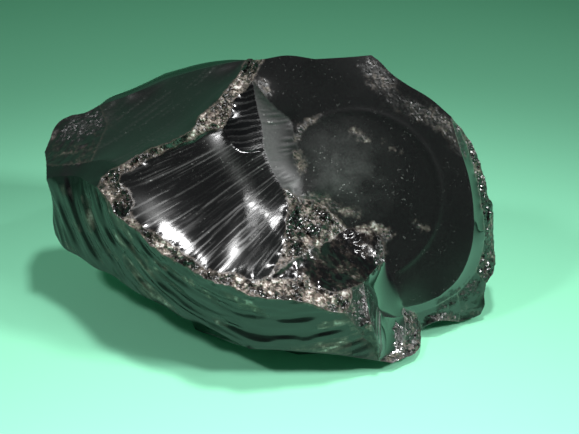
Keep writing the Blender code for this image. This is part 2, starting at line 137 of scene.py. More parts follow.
# Corners of the fracture faces, mm.
CORNERS = {
    # left end
    "tip": (-46.5, 11.4, 26.5),
    "tip_mid": (-45.6, 6.5, 26.5),
    "tip_low": (-45.2, 2.9, 25.5),
    "heel": (-44.5, 2.5, 12.0),
    # long slope at the upper left, and the lip behind it
    "lip_left": (-35.7, 21.1, 32.0),
    "slope_brow": (-21.5, 21.6, 38.0),
    "back_brow": (-22.1, 28.5, 35.5),
    "nose_low": (-35.8, 2.6, 30.0),
    # crumbled ridges round the hollow
    "ridge_foot": (-29.3, -3.0, 32.5),
    "corner_out": (-33.5, -6.4, 29.5),
    "corner_in": (-27.4, -8.5, 30.5),
    "notch_foot": (-9.1, 1.5, 38.5),
    "ridge_mid": (0.1, -23.8, 20.5),
    "ridge_right": (15.9, -22.4, 17.0),
    "wall_corner": (15.1, -26.4, 14.0),
    # crest
    "crest_left": (-4.6, 16.4, 45.5),
    "crest_notch": (-0.9, 13.2, 47.5),
    "crest_mid": (9.3, 13.2, 47.5),
    "crest_right": (20.7, 15.7, 47.0),
    # between the hollow and the disc
    "star_top": (-3.1, 10.0, 44.5),
    "star": (-0.8, -0.8, 35.5),
    "star_low": (3.1, -6.7, 29.5),
    "strip_brow": (4.3, 4.5, 38.5),
    "scree_top": (6.1, -6.6, 27.5),
    "scree_right": (15.3, -8.0, 21.0),
    # step and fan at the front right
    "step_top": (23.2, -11.9, 15.5),
    "step_left": (18.6, -18.9, 15.6),
    "fan_top": (22.9, -20.9, 8.7),
    "fan_right": (27.0, -17.4, 6.1),
    "fan_left": (20.1, -25.7, 10.7),
    "cleft_low": (18.6, -26.0, 7.6),
    "toe_left": (21.8, -26.9, 2.4),
    "toe": (24.4, -26.9, 1.9),
    "toe_right": (26.7, -25.1, 1.7),
    "knob": (29.1, -23.6, 1.6),
    "foot_tip": (30.7, -16.1, 2.0),
    # ring round the disc, bevelled band outside it, and jagged rim
    "ring_low": (26.9, -16.3, 7.3),
    "ring_bottom": (34.3, -14.0, 8.5),
    "ring_right": (41.3, -5.5, 20.0),
    "rim_top": (36.8, 7.5, 37.4),
    "band_low": (29.3, -15.7, 5.6),
    "band_bottom": (38.0, -12.1, 7.8),
    "band_notch": (42.0, -8.3, 10.3),
    "band_right": (43.7, -4.9, 18.0),
    "rim_right": (46.5, 2.6, 13.5),
    "rim_nose": (46.5, -4.5, 9.5),
    "rim_low": (44.3, -8.1, 7.3),
    "chip_nose": (43.3, -11.0, 1.5),
    "chip_foot": (38.8, -12.6, 0.8),
    # lower edge of the front wall
    "keel": (-3.5, -28.5, 6.8),
    # belt round the back, where the walls turn under, and a spur above it
    "belt_left": (-38.0, 18.5, 16.0),
    "belt_back": (-13.0, 28.0, 16.5),
    "belt_mid": (15.0, 26.5, 14.0),
    "belt_right": (38.5, 15.0, 12.0),
    "spur": (3.0, 27.5, 29.0),
    # flat foot
    "foot_left": (-15.0, -14.0, 0.0),
    "foot_front": (6.0, -22.0, 0.0),
    "foot_nose": (27.0, -19.5, 0.0),
    "foot_right": (36.0, -7.0, 0.0),
    "foot_rear": (28.0, 9.0, 0.0),
    "foot_back": (4.0, 15.0, 0.0),
    "foot_heel": (-18.0, 6.0, 0.0),
}

# Points that each curved edge passes through, mm. An edge that isn't here is nearly straight.
BENDS = {
    "tip lip_left": [(-44.0, 17.6, 30.0), (-38.4, 19.1, 31.5)],
    "nose_low lip_left": [(-34.4, 10.0, 30.8), (-33.7, 14.4, 31.5)],
    "tip_mid nose_low": [(-40.2, 3.8, 28.5)],
    "nose_low ridge_foot": [(-32.5, 1.0, 31.3)],
    "tip_low corner_out": [
        (-42.7, 2.4, 26.5), (-39.0, 0.8, 27.6), (-36.8, -1.7, 28.3), (-35.2, -4.2, 29.0),
    ],
    "tip_low heel": [(-44.7, 3.7, 21.0), (-44.6, 3.7, 18.0), (-44.8, 3.2, 14.6)],
    "lip_left slope_brow": [(-31.6, 20.2, 34.0), (-28.2, 19.8, 35.7)],
    "slope_brow crest_left": [(-14.0, 18.8, 42.0), (-8.9, 17.0, 44.3)],
    "lip_left back_brow": [(-33.4, 23.1, 32.8), (-28.7, 25.1, 33.8)],
    "back_brow crest_left": [(-14.3, 24.6, 40.0), (-8.6, 20.3, 43.3)],
    "crest_notch crest_left": [(-2.8, 14.8, 46.6)],
    "crest_mid crest_notch": [(3.9, 13.8, 48.0)],
    "crest_right crest_mid": [(15.0, 14.2, 47.3)],
    "rim_top crest_right": [
        (32.6, 9.6, 40.4), (28.1, 11.2, 42.6), (24.9, 12.9, 44.2), (22.4, 14.9, 46.0),
    ],
    "ridge_foot crest_left": [
        (-26.0, -1.6, 34.0), (-23.8, -1.3, 35.1), (-20.7, -1.0, 36.3), (-17.8, -0.2, 37.3),
        (-15.3, 0.9, 38.3), (-13.6, 3.7, 39.6), (-11.6, 5.7, 40.8), (-9.5, 7.0, 42.0),
        (-8.1, 9.4, 43.0), (-6.3, 11.8, 44.1),
    ],
    "corner_out ridge_foot": [(-33.1, -4.3, 30.0), (-31.8, -2.9, 31.0)],
    "crest_notch star_top": [(-2.1, 11.8, 46.0)],
    "star_top notch_foot": [
        (-4.7, 8.3, 43.2), (-6.7, 6.9, 42.2), (-7.2, 5.1, 41.2), (-7.4, 3.5, 40.3), (-8.2, 2.3, 39.4),
    ],
    "notch_foot corner_in": [
        (-11.9, 1.5, 38.0), (-13.5, 0.9, 37.4), (-15.7, -0.1, 36.5), (-18.2, -0.8, 35.7),
        (-20.8, -1.6, 34.9), (-23.3, -2.7, 34.0), (-25.3, -3.2, 33.3), (-27.0, -4.3, 32.4),
        (-29.0, -4.9, 31.6), (-29.2, -7.0, 31.1),
    ],
    "corner_in ridge_mid": [
        (-26.2, -11.3, 29.3), (-26.8, -12.9, 28.3), (-24.5, -15.8, 27.0), (-21.7, -17.1, 26.3),
        (-18.7, -19.3, 25.3), (-15.8, -21.1, 24.0), (-11.5, -24.3, 22.8), (-9.0, -24.9, 22.5),
        (-5.2, -24.7, 21.9), (-2.9, -25.4, 21.0),
    ],
    "ridge_mid ridge_right": [
        (4.3, -22.8, 19.5), (7.6, -21.6, 19.3), (8.5, -22.8, 18.3), (13.2, -23.6, 17.0),
    ],
    "corner_out wall_corner": [
        (-30.8, -10.4, 28.7), (-29.9, -12.7, 27.7), (-27.6, -14.7, 27.2), (-24.6, -16.7, 26.0),
        (-22.6, -19.0, 24.8), (-19.7, -20.9, 23.8), (-16.7, -22.3, 22.5), (-13.8, -24.2, 22.0),
        (-11.3, -26.0, 21.7), (-8.6, -27.0, 21.3), (-5.2, -27.6, 20.5), (-2.9, -28.4, 19.6),
        (0.5, -28.1, 18.8), (6.2, -27.5, 17.8), (10.0, -27.4, 16.3), (12.0, -27.3, 15.0),
    ],
    "heel keel": [
        (-42.2, -1.7, 11.5), (-38.6, -4.6, 11.3), (-35.2, -7.9, 11.0), (-31.6, -10.3, 11.0),
        (-27.7, -14.3, 10.8), (-24.5, -16.8, 10.5), (-20.6, -19.1, 10.0), (-16.7, -21.6, 9.0),
        (-13.0, -22.9, 8.5), (-8.0, -25.8, 7.5),
    ],
    "keel toe_left": [(1.6, -28.4, 6.5), (6.8, -28.4, 6.0), (13.4, -28.1, 5.0), (17.9, -27.9, 4.0)],
    "star_top star": [(-2.3, 6.2, 41.0), (-1.3, 3.0, 38.3)],
    "star star_low": [(0.7, -3.7, 32.5)],
    "notch_foot star": [(-7.1, -1.2, 36.5), (-4.6, -2.2, 35.5)],
    "star_top strip_brow": [(-1.3, 7.4, 43.3), (1.3, 5.5, 40.7)],
    "strip_brow scree_top": [(4.9, 2.4, 37.0), (5.9, 0.0, 34.3), (6.9, -1.6, 31.8), (6.7, -3.9, 29.3)],
    "ridge_mid star_low": [
        (2.4, -19.4, 22.0), (3.3, -15.5, 23.5), (3.5, -12.3, 25.5), (4.1, -8.7, 27.5),
    ],
    "ridge_mid scree_right": [(3.9, -20.7, 21.5), (8.2, -15.8, 21.5), (12.2, -11.4, 20.5)],
    "scree_top scree_right": [(9.9, -5.7, 25.5), (12.9, -6.7, 23.5)],
    "scree_right step_top": [(20.6, -8.0, 20.5), (22.8, -9.6, 18.5)],
    "step_left step_top": [(20.2, -16.2, 15.7), (21.5, -14.1, 15.9)],
    "step_left fan_top": [(19.8, -18.9, 13.8), (20.6, -19.4, 12.3), (21.7, -20.0, 10.1)],
    "fan_top fan_right": [(24.9, -19.3, 7.2)],
    "ring_low step_top": [(26.0, -15.6, 9.5), (24.8, -13.9, 12.5)],
    "step_left fan_left": [(19.0, -21.2, 14.2), (19.4, -23.1, 12.9)],
    "fan_left toe_left": [(21.5, -26.8, 6.9)],
    "cleft_low toe_left": [(20.6, -26.3, 5.6)],
    "wall_corner cleft_low": [(16.9, -26.6, 11.0)],
    "ridge_right wall_corner": [(16.3, -24.2, 15.5)],
    "fan_right toe_right": [(27.3, -20.9, 4.4), (26.3, -23.6, 3.2)],
    "knob foot_tip": [(30.4, -20.4, 1.4)],
    "band_low foot_tip": [(30.1, -15.9, 4.0)],
    "ring_low ring_bottom": [(30.8, -15.1, 7.5)],
    "ring_bottom ring_right": [(37.4, -12.1, 10.4), (39.4, -10.2, 12.8), (40.8, -7.9, 16.3)],
    "ring_right rim_top": [(41.0, -2.7, 24.1), (40.1, 0.4, 28.2), (38.5, 3.5, 32.3), (37.4, 5.7, 35.2)],
    "band_low band_bottom": [(31.8, -15.0, 6.0), (34.5, -14.0, 6.6)],
    "band_notch band_right": [(43.3, -5.6, 13.6)],
    "band_right rim_top": [(42.6, -1.0, 24.2), (41.1, 3.1, 29.3), (38.8, 6.2, 34.3)],
    "rim_low rim_nose": [(45.5, -7.0, 8.5)],
    "rim_nose rim_right": [(46.4, 0.7, 12.3)],
    "rim_right rim_top": [
        (45.5, 0.8, 20.8), (44.6, 0.8, 22.4), (43.7, 3.1, 26.3), (41.9, 5.2, 30.6), (39.9, 6.6, 33.6),
    ],
    "band_bottom chip_foot": [(38.8, -11.6, 4.4)],
    "chip_nose rim_low": [(44.0, -10.3, 3.1), (44.0, -9.0, 5.0)],
    "foot_tip chip_foot": [(32.5, -15.9, 3.0), (34.7, -15.4, 3.4)],
}


class Face(NamedTuple):
    """One fracture face. Lengths are in mm."""

    corners: str
    step: float = 0.5
    crown: float = 0.0  # how far its middle bulges, or is hollowed where negative
    origin: tuple = (0.0, 0.0, 0.0)  # where its fracture started
    ribs: tuple = ()  # (spacing, height) of the ribs, arcs about that origin
    rings: tuple = ()  # (radius, height, width) of single steps about that origin
    grit: float = 0.0  # how far its crumbled surface stands up and down
    grain: str = ""  # "arcs" or "rays" about that origin, which its triangles follow
    stretch: float = 1.0  # how much longer than wide those triangles are
    powder: float = 0.0  # pale dust that lies on it, and a painted frosted sheen where it stands in for a glow
    dust_and_sheen: float = 0.0  # pale dust that lies on it
    matte: float = 0.0  # roughness beyond that of clean glass
    gloss: float = 0.0  # how much more it mirrors than the rest
    shade: float = 0.0  # how much paler its crumbs are than most


FACES = {
    "slope": Face(
        "nose_low ridge_foot crest_left slope_brow lip_left", 0.55, crown=-1.2, dust_and_sheen=0.1, matte=0.2
    ),
    "lip": Face("lip_left slope_brow crest_left back_brow", 0.45, crown=0.3, matte=0.15),
    "nose": Face("tip tip_mid nose_low lip_left", 0.4, grit=0.3, powder=0.3, matte=0.2, shade=-0.25),
    "wedge": Face("tip_mid tip_low corner_out ridge_foot nose_low", 0.4, grit=0.15, matte=0.15),
    "left_ridge": Face(
        "corner_out corner_in notch_foot star_top crest_notch crest_left ridge_foot",
        0.26, grit=0.8, powder=1.0,
    ),
    "front_ridge": Face(
        "corner_out wall_corner ridge_right ridge_mid corner_in", 0.26, grit=0.8, powder=1.0
    ),
    "wall": Face(
        "tip_low heel keel toe_left cleft_low wall_corner corner_out", 0.3,
        crown=1.0, origin=(6.0, -20.0, 55.0), ribs=(4.2, 0.35), grain="arcs", stretch=3.0, matte=0.14,
    ),
    "hollow": Face(
        "corner_in ridge_mid star_low star notch_foot", 0.2,
        origin=(28.0, 18.0, 42.0), grain="rays", stretch=3.0,
    ),
    "notch": Face("notch_foot star star_top", 0.2),
    # The strip's dust paints a frosted sheen.
    "strip": Face(
        "star_top star star_low scree_top strip_brow", 0.25, crown=-0.4, dust_and_sheen=0.5, matte=0.27
    ),
    "scree": Face("star_low ridge_mid scree_right scree_top", 0.26, grit=0.8, powder=0.9, shade=-0.04),
    "shelf": Face(
        "ridge_mid ridge_right step_left step_top scree_right", 0.35,
        crown=-0.5, grit=0.15, powder=0.2, shade=-0.15,
    ),
    "cleft": Face(
        "ridge_right wall_corner cleft_low toe_left fan_left step_left", 0.3,
        crown=-0.2, powder=0.5, matte=0.2, shade=-0.15,
    ),
    "step": Face("step_left fan_top fan_right ring_low step_top", 0.3, crown=-0.6, gloss=1.0),
    "fan": Face(
        "step_left fan_left toe_left toe toe_right fan_right fan_top", 0.24, crown=-0.3, gloss=0.75
    ),
    "flank": Face(
        "fan_right toe_right knob foot_tip band_low ring_low", 0.3,
        grit=0.4, powder=0.6, matte=0.2, shade=-0.15,
    ),
    "disc": Face(
        "scree_top scree_right step_top ring_low ring_bottom ring_right"
        " rim_top crest_right crest_mid crest_notch star_top strip_brow", 0.38,
        crown=0.5, origin=(17.5, -4.5, 26.5), rings=((17.0, 0.12, 0.7),), dust_and_sheen=0.2, matte=0.05,
    ),
    "band": Face(
        "ring_low band_low band_bottom band_notch band_right rim_top ring_right ring_bottom", 0.35,
        gloss=0.65,
    ),
    "rim": Face(
        "band_notch rim_low rim_nose rim_right rim_top band_right", 0.3,
        grit=0.5, powder=0.6, shade=-0.2,
    ),
    "chip_front": Face(
        "band_low foot_tip chip_foot band_bottom", 0.35, crown=-0.3, powder=0.05, gloss=0.3
    ),
    "chip_side": Face(
        "band_bottom chip_foot chip_nose rim_low band_notch", 0.3,
        crown=-0.2, grit=0.2, powder=0.1, gloss=0.2,
    ),
    "left_wall": Face(
        "heel tip_low tip_mid tip lip_left belt_left", 0.8,
        crown=0.8, origin=(-46.0, 8.0, 44.0), ribs=(6.5, 0.5),
    ),
    "back_left_wall": Face(
        "belt_left lip_left back_brow belt_back", 0.8,
        crown=-1.6, origin=(-24.0, 28.0, 48.0), ribs=(7.0, 0.5),
    ),
    "back_crown": Face(
        "spur back_brow crest_left crest_notch crest_mid crest_right", 0.8,
        crown=-1.0, origin=(-8.0, 14.0, 54.0), ribs=(8.0, 0.5),
    ),
    "back_wall": Face(
        "belt_back back_brow spur belt_mid", 0.8,
        crown=0.9, origin=(4.0, 28.0, 34.0), ribs=(6.0, 0.45),
    ),
    "right_wall": Face(
        "belt_mid spur crest_right rim_top belt_right", 0.8,
        crown=-1.8, origin=(22.0, 18.0, 52.0), ribs=(8.5, 0.6),
    ),
    "rim_wall": Face(
        "belt_right rim_top rim_right rim_nose rim_low chip_nose foot_right", 0.7,
        crown=0.9, origin=(40.0, 26.0, 34.0), ribs=(7.0, 0.5),
    ),
    "under_left": Face(
        "heel belt_left foot_heel foot_left keel", 1.0,
        crown=-0.8, origin=(-50.0, 16.0, 20.0), ribs=(9.0, 0.6),
    ),
    "under_back": Face(
        "belt_left belt_back belt_mid foot_back foot_heel", 1.0,
        crown=1.2, origin=(-2.0, 34.0, 20.0), ribs=(7.5, 0.5),
    ),
    "under_right": Face("belt_mid belt_right foot_right foot_rear foot_back", 1.0, crown=1.0),
    "under_chip": Face("chip_nose chip_foot foot_tip foot_nose foot_right", 1.0, matte=0.35),
    "under_front": Face(
        "keel foot_left foot_front foot_nose foot_tip knob toe_right toe toe_left", 1.0, matte=0.35
    ),
    "foot": Face("foot_left foot_heel foot_back foot_rear foot_right foot_nose foot_front", 3.0),
}

# Streaks and spots of crushed crumbs that lie across the faces: both ends and the reach to the
# sides in mm, the powder, and the tint, where 0 is black and 1 is the palest.
CRUMBS = (
    # On the disc.
    ((-1.6, 9.2, 44.3), (-0.4, 7.6, 43.0), 0.9, 0.6, 0.3),
    ((5.4, 1.6, 36.2), (7.4, 4.0, 38.3), 0.6, 0.7, 0.45),
    ((7.4, 4.0, 38.3), (10.2, 5.0, 39.0), 0.6, 0.7, 0.5),
    ((5.8, -0.6, 33.4), (7.0, -2.0, 31.3), 0.8, 0.7, 0.5),
    ((16.6, 3.6, 36.4), (19.8, 3.1, 35.3), 0.8, 0.6, 0.45),
    ((23.0, 3.0, 34.7), (26.2, 1.7, 32.7), 0.6, 0.6, 0.5),
    ((20.5, 13.4, 45.2), (23.5, 11.4, 43.1), 1.6, 0.5, 0.2),
    ((24.9, 9.0, 40.8), (31.5, 7.5, 38.4), 1.5, 0.4, 0.2),
    ((28.5, 8.2, 39.6), (36.0, 6.0, 35.9), 1.4, 0.5, 0.25),
    ((36.0, 6.0, 35.9), (39.0, 3.6, 31.9), 1.2, 0.4, 0.2),
    ((29.4, -6.8, 21.2), (31.4, -7.0, 20.4), 0.7, 0.6, 0.45),
    ((6.0, -7.2, 27.1), (11.4, -5.7, 25.3), 1.3, 0.7, 0.55),
    ((11.4, -5.7, 25.3), (17.7, -6.3, 23.4), 0.8, 0.6, 0.5),
    ((10.3, -9.8, 23.2), (20.3, -8.0, 20.6), 0.6, 0.8, 0.7),
    ((20.9, -7.7, 20.9), (23.9, -8.4, 19.9), 0.8, 0.8, 0.6),
    # Beside the band.
    ((35.2, -13.6, 6.3), (41.6, -9.4, 7.6), 1.3, 1.1, 0.05),
    ((33.0, -15.3, 3.8), (35.5, -14.6, 4.0), 0.9, 0.95, 0.3),
    ((35.5, -14.6, 3.6), (38.4, -12.6, 1.4), 0.9, 0.95, 0.3),
    # On the fan and at its foot, and at the shelf's corner.
    ((25.6, -20.5, 5.7), (25.9, -23.8, 3.3), 0.8, 0.95, 0.2),
    ((23.0, -26.7, 2.4), (27.1, -24.3, 2.1), 0.8, 0.95, 0.3),
    ((22.9, -9.3, 18.9), (21.9, -12.8, 16.0), 0.9, 0.8, 0.35),
    # On the slope.
    ((-40.2, 14.3, 30.0), (-35.0, 15.9, 31.4), 3.0, 0.4, 0.15),
    # On the wall.
    ((-42.2, 1.0, 24.4), (-35.4, -5.3, 25.1), 0.6, 0.8, 0.5),
    ((-39.1, -3.5, 18.4), (-38.5, -4.0, 18.2), 0.8, 0.8, 0.5),
    ((-32.5, -9.9, 17.3), (-30.3, -12.1, 16.9), 0.7, 0.8, 0.5),
    ((-29.3, -12.9, 16.1), (-27.8, -14.4, 15.8), 0.6, 0.8, 0.45),
    ((-24.9, -16.6, 19.8), (-24.0, -17.4, 19.6), 0.7, 0.8, 0.5),
    ((-21.7, -19.3, 20.6), (-19.7, -20.4, 20.2), 0.6, 0.8, 0.5),
    ((-18.8, -20.9, 20.1), (-14.8, -23.3, 18.8), 0.7, 0.8, 0.5),
    ((-12.9, -24.5, 18.5), (-10.0, -25.2, 16.2), 0.7, 0.8, 0.5),
    ((-3.2, -27.8, 17.0), (-1.0, -27.6, 14.4), 0.8, 0.8, 0.5),
)

# Edges that are shaded without a crease.
SOFT_EDGES = ("ring_low step_top", "star_top strip_brow", "strip_brow scree_top")


class Marks(NamedTuple):
    """Fine ridges side by side. Lengths are in mm."""

    count: int
    width: float
    height: float
    length: float
    seed: int


LONG_HACKLES = Marks(100, 0.18, 1.0, 22.0, 11)
SHORT_HACKLES = Marks(400, 0.14, 1.0, 8.0, 12)
NOTCH_MARKS = Marks(40, 0.2, 1.0, 9.0, 21)
STRIP_MARKS = Marks(90, 0.3, 0.14, 8.0, 31)
FAN_MARKS = Marks(60, 0.3, 0.4, 12.0, 41)
SLOPE_MARKS = Marks(90, 0.22, 1.0, 16.0, 51)

HACKLE_LENGTHS = (0.2, 1.0)  # shares of the longest
HACKLE_WIDTHS = (0.6, 1.6)  # shares of the usual width
HACKLE_HEIGHTS = (0.3, 1.0)  # roots of the shares of the tallest
HACKLE_TAPER = 1.5  # a ridge rises and ends over this length, mm

# Behind its front edge the hollow dips in one stretch along X and swells in another: the middle
# and reach of each in mm, and its share of the depth, negative for a swell.
DIPS = ((-15.0, 6.0, 1.0), (-5.0, 5.0, -1.1))
DIP_DEPTH = 0.5  # mm
DIP_EDGE = 4.5  # distance from the edge over which it deepens, mm
FOLD_AT = (1.3, -12.7)  # a shallow fold crosses the hollow through this point, mm
FOLD_ACROSS = (0.7, 0.71)  # at right angles to this
FOLD_REACH = 3.0  # mm
FOLD_DEPTH = 0.24  # mm
SHEEN_REACH = 1.4  # painted sheen of pale dust lies this far beside the fold, mm
SHEEN_SPOTS = (((-6.5, -20.5, 23.5), 0.2), ((-23.0, -12.5, 28.3), 0.6))  # spots of painted glow: middle in mm, and their dust
SHEEN_SPOT_REACH = 2.8  # mm
SWELL = 0.25  # height of the slope's low swells, mm
RIPPLE = 0.18  # height of the wall's ripples, mm
TREAD = 0.8  # height of the notch's small steps, mm
TREAD_EDGE = 0.72  # painted pale from this share of a step, a painted glint along its edge
CLOUD_AT = (14.5, -2.0, 30.0)  # dust lies thickest on the disc here, mm
CLOUD_REACH = 11.0  # mm


class Lamp(NamedTuple):
    """A rectangular light, aimed at the lit spot."""

    towards: tuple  # direction of the lamp from the lump
    distance: float  # m
    size: tuple  # m
    energy: float  # W
    spread: float  # degrees
    along: tuple = (1.0, 0.0, 0.0)  # direction of its long side


# The overhead tube and strip, the key at the right, and a weak lamp at the left.
LAMPS = {
    "tube": Lamp((0.085, 0.19, 0.975), 0.42, (0.04, 0.045), 0.16, 50.0),
    "strip": Lamp((0.434, -0.067, 0.90), 0.42, (0.09, 0.015), 0.036, 50.0, (0.485, 0.274, 0.0)),
    "key": Lamp((0.78, -0.18, 0.60), 0.55, (0.08, 0.08), 0.32, 62.0),
    "side": Lamp((-0.62, -0.15, 0.77), 0.50, (0.06, 0.06), 0.12, 62.0),
}


def cell_random(cells, salt):
    """A repeatable random number from 0 to 1 for each row of whole numbers."""
    primes = np.array([73856093, 19349663, 83492791], dtype=np.uint64)
    mixed = (cells.astype(np.int64).view(np.uint64) * primes).sum(axis=1)
    mixed += np.uint64(salt * 2654435761 + 1)
    for multiplier in (0xFF51AFD7ED558CCD, 0xC4CEB9FE1A85EC53):
        mixed ^= mixed >> np.uint64(33)
        mixed *= np.uint64(multiplier)
    return ((mixed ^ (mixed >> np.uint64(33))) >> np.uint64(11)) / 2.0**53


def smooth_noise(points, per_mm, salt):
    """Smooth noise from -1 to 1 at each point, with that many lumps to the mm."""
    scaled = points * per_mm
    base = np.floor(scaled)
    share = scaled - base
    share = share * share * (3 - 2 * share)
    total = np.zeros(len(points))
    for corner in itertools.product((0, 1), repeat=3):
        weight = np.where(corner, share, 1 - share).prod(axis=1)
        total += weight * cell_random(base + corner, salt)
    return 2 * total - 1


def chips(points, size, salt):
    """Broken facets about that many mm across: each point's height, and its chip's random number."""
    base = np.floor(points / size)
    nearest = np.full(len(points), np.inf)
    height = np.zeros(len(points))
    number = np.zeros(len(points))
    for shift in itertools.product((-1, 0, 1), repeat=3):
        cell = base + shift
        random = np.column_stack([cell_random(cell, salt + axis) for axis in range(3)])
        offset = points - (cell + random) * size
        distance = np.linalg.norm(offset, axis=1)
        closer = distance < nearest
        nearest[closer] = distance[closer]
        tilt = random[:, ::-1] * 2 - 1
        leaning = (tilt * offset).sum(axis=1) * CHIP_LEAN + (random[:, 0] - 0.5) * size * CHIP_STEP
        height[closer] = leaning[closer]
        number[closer] = cell_random(cell, salt + 3)[closer]
    return height, number


def bell(gap, reach):
    """1 where the gap is nothing, and soon 0 beyond the reach."""
    return np.exp(-((gap / reach) ** 2))


def fade(depth, over):
    """0 at a border, 1 well inside it."""
    return 1.0 - bell(depth, over)


def catmull_rom(a, b, c, d, t):
    """Points on the smooth curve from b to c, where t is 0 at b and 1 at c."""
    linear = c - a
    square = 2 * a - 5 * b + 4 * c - d
    cube = 3 * b - a - 3 * c + d
    return b + 0.5 * t * (linear + t * (square + t * cube))


def curve_through(points, step):
    """Points about a step apart along a smooth curve through the given ones, with both ends."""
    knots = [2 * points[0] - points[1], *points, 2 * points[-1] - points[-2]]
    t = np.linspace(0.0, 1.0, CURVE_POINTS, endpoint=False)[:, None]
    runs = [catmull_rom(*four, t) for four in zip(knots, knots[1:], knots[2:], knots[3:])]
    dense = np.vstack([*runs, points[-1]])
    along = np.concatenate([[0.0], np.cumsum(np.linalg.norm(np.diff(dense, axis=0), axis=1))])
    places = np.linspace(0.0, along[-1], max(1, round(along[-1] / step)) + 1)
    return np.column_stack([np.interp(places, along, dense[:, axis]) for axis in range(3)])


def shake(points, amount, scale):
    """The edge's points, all but its ends moved by up to about the amount. A foot edge stays level."""
    share = np.sin(np.linspace(0.0, math.pi, len(points)))[:, None] ** 0.5
    shifts = amount * share * np.array([noise.noise_vector(Vector(point) * scale) for point in points])
    if points[0][2] == 0.0 and points[-1][2] == 0.0:
        shifts[:, 2] = 0.0
    return points + shifts


class Lump:
    """The mesh as it grows."""

    def __init__(self):
        self.places = []
        self.edges = {}  # corner pair to the indices along it
        self.triangles = []
        self.crushed = []  # for each triangle, whether it is shaded flat
        self.masks = {}  # vertex index to its value of each mask

    def mark(self, index, values):
        old = self.masks.get(index, values)
        self.masks[index] = tuple(max(pair) for pair in zip(old, values))


def corner_pairs(face):
    names = face.corners.split()
    return zip(names, names[1:] + names[:1])


def edge_traits():
    """For each pair of neighbouring corners, the larger of its two faces' grits and powders."""
    traits = {}
    for face in FACES.values():
        for pair in corner_pairs(face):
            grit, powder = traits.get(frozenset(pair), (0.0, 0.0))
            traits[frozenset(pair)] = (max(grit, face.grit), max(powder, face.powder))
    return traits


def draw_edges(lump):
    """Adds every edge's points to the lump, and keeps their indices for both directions."""
    index_of = {}
    for name, place in CORNERS.items():
        index_of[name] = len(lump.places)
        lump.places.append(np.array(place))
    bends = {frozenset(names.split()): (names.split(), points) for names, points in BENDS.items()}
    for key, (grit, powder) in edge_traits().items():
        names, between = bends.get(key, (sorted(key), []))
        start, end = names
        through = [np.array(point) for point in (CORNERS[start], *between, CORNERS[end])]
        points = curve_through(through, EDGE_STEP)
        if not between:
            straight = np.linalg.norm(through[-1] - through[0])
            points = shake(points, min(WANDER, WANDER_SHARE * straight), WANDER_SCALE)
        points = shake(points, grit * EDGE_GRIT, GRIT_SCALE)
        points = shake(points, powder * NIBBLE, NIBBLE_SCALE)
        inner = list(range(len(lump.places), len(lump.places) + len(points) - 2))
        lump.places.extend(points[1:-1])
        run = [index_of[start], *inner, index_of[end]]
        lump.edges[start, end] = run
        lump.edges[end, start] = run[::-1]


def face_frame(border):
    """The border's middle, and rows of axes whose last one is its outward normal."""
    middle = border.mean(axis=0)
    spokes = border - middle
    normal = np.cross(spokes, np.roll(spokes, -1, axis=0)).sum(axis=0)
    normal /= np.linalg.norm(normal)
    side = np.cross((0.0, 0.0, 1.0) if abs(normal[2]) < 0.9 else (0.0, 1.0, 0.0), normal)
    side /= np.linalg.norm(side)
    return middle, np.array([side, np.cross(normal, side), normal])


class Grain(NamedTuple):
    """Turns points of a face's plane into steps along and across its grain, and back."""

    face: Face
    origin: np.ndarray

    def polar(self, points):
        """Distance from the origin, and angle from the way it looks at the face's middle."""
        offset = points - self.origin
        turned = np.arctan2(offset[:, 1], offset[:, 0]) - self.heading()
        return np.linalg.norm(offset, axis=1), (turned + math.pi) % (2 * math.pi) - math.pi

    def heading(self):
        return math.atan2(-self.origin[1], -self.origin[0])

    def units(self):
        """Length of one step outwards, and angle of one step round, at the face's middle."""
        short, long = self.face.step, self.face.step * self.face.stretch
        outwards, round_it = (short, long) if self.face.grain == "arcs" else (long, short)
        return outwards, round_it / np.linalg.norm(self.origin)

    def steps(self, points):
        if not self.face.grain:
            return points / self.face.step
        return np.column_stack(self.polar(points)) / self.units()

    def points(self, steps):
        if not self.face.grain:
            return steps * self.face.step
        radius, angle = (steps * self.units()).T
        angle = angle + self.heading()
        return self.origin + radius[:, None] * np.column_stack([np.cos(angle), np.sin(angle)])


def lattice(border, jitter):
    """Points of a triangular lattice, one step apart, over the border's box."""
    low = border.min(axis=0)
    high = border.max(axis=0)
    columns = np.arange(low[0] + 0.25, high[0], 1.0)
    rows = []
    for row, y in enumerate(np.arange(low[1] + 0.5, high[1], ROW_SHARE)):
        rows.append(np.column_stack([columns + (row % 2) * 0.5, np.full(len(columns), y)]))
    points = np.vstack(rows)
    cells = np.round(np.column_stack([points * 4, np.zeros(len(points))]))
    shift = np.column_stack([cell_random(cells, salt) for salt in (1, 2)]) - 0.5
    return points + shift * jitter


def blend_in(points, border):
    """Each point's mean-value weights, its smooth distance in, and whether it is inside."""
    spokes = border[None] - points[:, None]
    reach = np.linalg.norm(spokes, axis=2)
    following = np.roll(spokes, -1, axis=1)
    cross = spokes[..., 0] * following[..., 1] - spokes[..., 1] * following[..., 0]
    dot = (spokes * following).sum(axis=2)
    half_tangent = cross / (reach * np.roll(reach, -1, axis=1) + dot)
    weights = (half_tangent + np.roll(half_tangent, 1, axis=1)) / reach
    total = weights.sum(axis=1)
    inside = np.arctan2(cross, dot).sum(axis=1) > math.pi
    return weights / total[:, None], 2.0 / total, inside


def nearest_gap(points, others):
    return np.linalg.norm(others[None] - points[:, None], axis=2).min(axis=1)


class Spots(NamedTuple):
    """Inner points of one face."""

    flat: np.ndarray  # in the face's plane, mm
    depth: np.ndarray  # smooth distance from the border, mm
    place: np.ndarray  # on the blended surface, mm
    radius: np.ndarray  # from the fracture's origin, mm
    angle: np.ndarray  # about it


